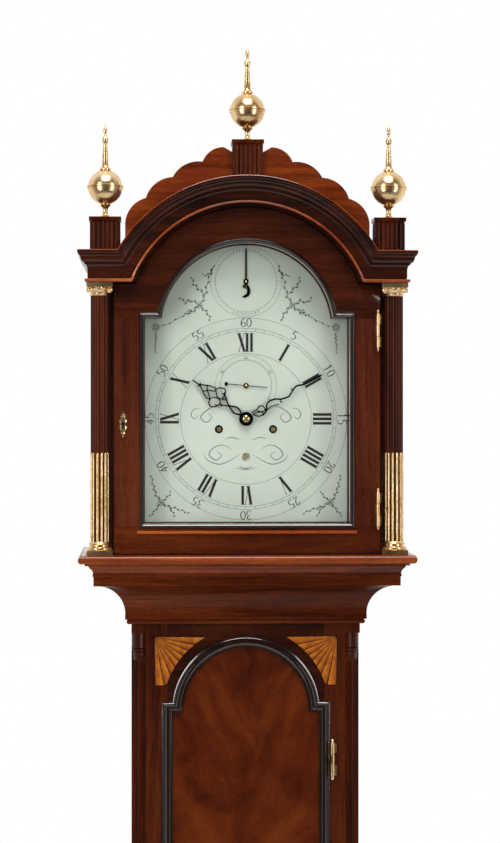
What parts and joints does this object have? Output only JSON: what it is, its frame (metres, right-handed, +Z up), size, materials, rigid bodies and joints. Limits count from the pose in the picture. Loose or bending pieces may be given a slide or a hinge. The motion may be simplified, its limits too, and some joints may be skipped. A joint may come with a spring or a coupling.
{
  "type": "longcase clock",
  "caption": "Tall mahogany longcase clock with an arched glazed hood that slides off, a hinged trunk door, a silvered dial with pierced hands, a seconds pendulum and weights on pulleys.",
  "frame": {"origin": "on the floor, under the middle of the cornice", "axes": "+X to the right seen from the front, the front towards -Y, +Z up"},
  "size_m": [0.487, 0.266, 2.34],
  "materials": {
    "mahogany": "polished",
    "flame_mahogany": "polished",
    "dark_moulding": "polished",
    "satinwood": "polished",
    "oak": "oiled",
    "brass": "lacquered",
    "bell_metal": "satin",
    "silvered_brass": "silvered",
    "blued_steel": "blued",
    "steel": "polished",
    "glass": "clear",
    "gut": "twisted"
  },
  "bodies": {
    "case": {"backboard": "oak", "base_front": "mahogany", "base_carcass": "mahogany", "base_skirting": "mahogany", "base_moulding": "mahogany", "trunk_sides": "mahogany", "trunk_stiles": "mahogany", "trunk_rails": "mahogany", "quarter_columns": "mahogany", "throat_moulding": "mahogany", "fan_inlays": "satinwood", "trunk_hinge_leaves": "brass", "seatboard": "oak", "movement_frame": "brass", "dial_plate": "silvered_brass", "bell": "bell_metal", "going_line": "gut", "strike_line": "gut"},
    "trunk_door": {"trunk_door_panel": "flame_mahogany", "trunk_door_moulding": "dark_moulding", "trunk_door_hinges": "brass", "trunk_door_escutcheon": "brass"},
    "hood": {"hood_base_moulding": "mahogany", "hood_sides": "mahogany", "hood_side_glass": "glass", "hood_frieze": "mahogany", "hood_cornice": "mahogany", "hood_roof": "oak", "hood_cresting": "mahogany", "finial_plinths": "mahogany", "hood_finials": "brass", "column_shafts": "mahogany", "column_brasses": "brass", "dial_mask": "mahogany", "hood_hinge_leaves": "brass"},
    "hood_door": {"hood_door_frame": "mahogany", "hood_door_moulding": "dark_moulding", "hood_door_glass": "glass", "hood_door_hinges": "brass", "hood_door_escutcheon": "brass"},
    "minute_train": {"centre_wheel": "brass", "cannon_pinion": "brass", "minute_hand": "blued_steel"},
    "hour_train": {"hour_wheel": "brass", "hour_hand": "blued_steel"},
    "minute_wheel": {"minute_wheel": "brass"},
    "third_wheel": {"third_wheel": "brass"},
    "escape": {"escape_wheel": "brass", "seconds_hand": "blued_steel"},
    "going_barrel": {"going_great_wheel": "brass"},
    "strike_barrel": {"strike_great_wheel": "brass"},
    "pendulum": {"pendulum_rod": "steel", "pendulum_bob": "brass"},
    "anchor": {"pallet_anchor": "steel"},
    "strike_hand": {"strike_hand": "blued_steel"},
    "hammer": {"bell_hammer": "steel"},
    "going_weight": {"going_weight": "brass"},
    "going_pulley": {"going_pulley": "brass"},
    "strike_weight": {"strike_weight": "brass"},
    "strike_pulley": {"strike_pulley": "brass"}
  },
  "joints": [
    {"name": "hood_slide", "type": "slide", "parent": "case", "child": "hood", "axis": [0, -1, 0], "range_m": [0, 0.3]},
    {"name": "hood_door_hinge", "type": "hinge", "parent": "hood", "child": "hood_door", "pos_m": [0.1883, -0.109, 1.8], "axis": [0, 0, 1], "range_deg": [0, 100]},
    {"name": "trunk_door_hinge", "type": "hinge", "parent": "case", "child": "trunk_door", "pos_m": [0.1261, -0.0612, 1], "axis": [0, 0, 1], "range_deg": [0, 120]},
    {"name": "centre_spin", "type": "hinge", "parent": "case", "child": "minute_train", "pos_m": [0, 0, 1.8045], "axis": [0, 1, 0], "continuous": true},
    {"name": "hour_spin", "type": "hinge", "parent": "case", "child": "hour_train", "pos_m": [0, 0, 1.8045], "axis": [0, 1, 0], "continuous": true},
    {"name": "minute_wheel_spin", "type": "hinge", "parent": "case", "child": "minute_wheel", "pos_m": [0, 0, 1.7811], "axis": [0, 1, 0], "continuous": true},
    {"name": "third_spin", "type": "hinge", "parent": "case", "child": "third_wheel", "pos_m": [0.012, 0, 1.8308], "axis": [0, 1, 0], "continuous": true},
    {"name": "escape_spin", "type": "hinge", "parent": "case", "child": "escape", "pos_m": [0, 0, 1.853], "axis": [0, 1, 0], "continuous": true},
    {"name": "going_barrel_spin", "type": "hinge", "parent": "case", "child": "going_barrel", "pos_m": [0.0395, 0, 1.7895], "axis": [0, 1, 0], "continuous": true},
    {"name": "pendulum_swing", "type": "hinge", "parent": "case", "child": "pendulum", "pos_m": [0, 0.048, 1.877], "axis": [0, 1, 0], "range_deg": [-2.5, 2.5]},
    {"name": "anchor_swing", "type": "hinge", "parent": "case", "child": "anchor", "pos_m": [0, 0, 1.877], "axis": [0, 1, 0], "range_deg": [-2.5, 2.5]},
    {"name": "strike_hand_turn", "type": "hinge", "parent": "case", "child": "strike_hand", "pos_m": [0, -0.06, 2.0048], "axis": [0, 1, 0], "range_deg": [-40, 40]},
    {"name": "hammer_swing", "type": "hinge", "parent": "case", "child": "hammer", "pos_m": [-0.052, 0, 1.868], "axis": [0, -1, 0], "range_deg": [0, 12], "stiffness_Nm_per_rad": 0.03, "springref_deg": -11.46},
    {"name": "going_weight_slide", "type": "slide", "parent": "case", "child": "going_weight", "axis": [0, 0, 1], "range_m": [0, 1.15], "deforming": ["going_line"]},
    {"name": "going_pulley_spin", "type": "hinge", "parent": "going_weight", "child": "going_pulley", "pos_m": [0.0392, -0.005, 0.48], "axis": [0, 1, 0], "continuous": true},
    {"name": "strike_weight_slide", "type": "slide", "parent": "case", "child": "strike_weight", "axis": [0, 0, 1], "range_m": [0, 1.15], "deforming": ["strike_line"]},
    {"name": "strike_pulley_spin", "type": "hinge", "parent": "strike_weight", "child": "strike_pulley", "pos_m": [-0.0398, -0.005, 0.48], "axis": [0, 1, 0], "continuous": true},
    {"name": "strike_barrel_spin", "type": "hinge", "parent": "case", "child": "strike_barrel", "pos_m": [-0.0395, 0, 1.7895], "axis": [0, 1, 0], "continuous": true}
  ],
  "couplings": [
    {"joint": "hour_spin", "follows": "centre_spin", "ratio": 0.083333},
    {"joint": "minute_wheel_spin", "follows": "centre_spin", "ratio": -1},
    {"joint": "third_spin", "follows": "centre_spin", "ratio": -7.5},
    {"joint": "escape_spin", "follows": "centre_spin", "ratio": 60},
    {"joint": "going_barrel_spin", "follows": "centre_spin", "ratio": -0.083333},
    {"joint": "anchor_swing", "follows": "pendulum_swing", "ratio": 1},
    {"joint": "going_pulley_spin", "follows": "going_weight_slide", "rad_per_m": 45.455},
    {"joint": "strike_pulley_spin", "follows": "strike_weight_slide", "rad_per_m": 45.455},
    {"joint": "strike_barrel_spin", "follows": "strike_weight_slide", "rad_per_m": 89.686}
  ]
}
